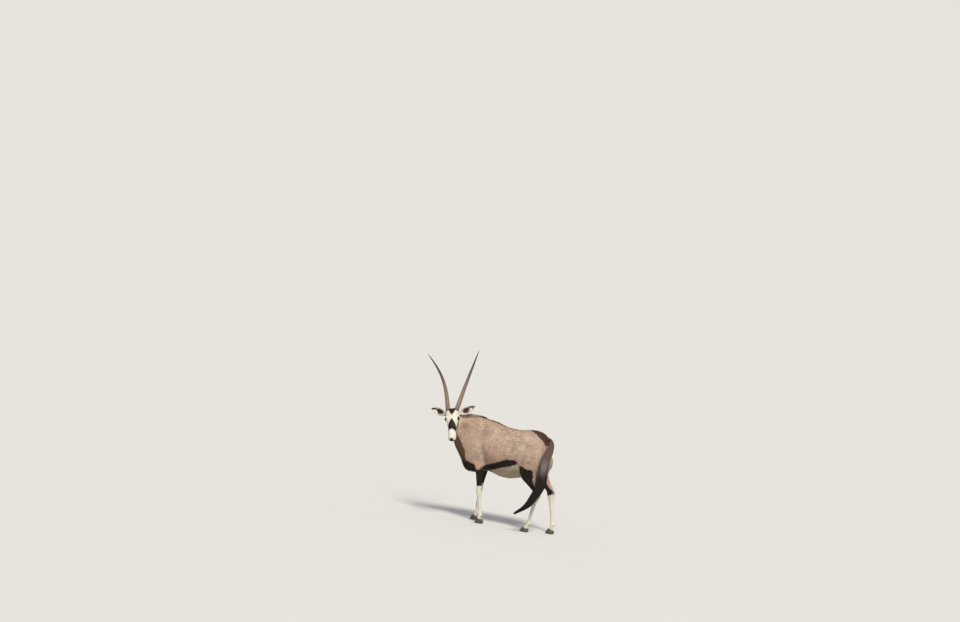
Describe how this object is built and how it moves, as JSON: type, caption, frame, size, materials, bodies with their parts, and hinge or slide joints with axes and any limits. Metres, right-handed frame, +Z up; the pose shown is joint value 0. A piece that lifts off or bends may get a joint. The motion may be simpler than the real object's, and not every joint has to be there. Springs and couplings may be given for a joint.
{
  "type": "gemsbok figure",
  "caption": "Life-size still figure of a standing gemsbok with its head turned to its left, long ringed horns, cupped ears, a short mane and a long-haired tail.",
  "frame": {"origin": "on the floor, under the middle of the figure's box", "axes": "+Z up; the animal faces -X, with its left side towards -Y and its head turned to its left"},
  "size_m": [1.854, 0.8014, 1.9032],
  "materials": {
    "coat": "short flat hair, pinkish fawn, with brown-black bands and white lower legs",
    "face_coat": "very short hair, white with brown-black patches",
    "long_hair": "long coarse brown-black hair with a slight sheen",
    "horn": "ridged grey-brown horn, smooth and darker towards the tips",
    "hoof": "dull grey-brown hoof horn",
    "eye": "wet dark brown eye"
  },
  "bodies": {
    "root": {"torso": "coat", "neck": "coat", "head": "face_coat", "ear_left": "face_coat", "ear_right": "face_coat", "horn_left": "horn", "horn_right": "horn", "eye_left": "eye", "eye_right": "eye", "leg_fore_left": "coat", "leg_fore_right": "coat", "leg_hind_left": "coat", "leg_hind_right": "coat", "hoof_fore_left": "hoof", "hoof_fore_right": "hoof", "hoof_hind_left": "hoof", "hoof_hind_right": "hoof", "tail": "long_hair"}
  },
  "joints": []
}
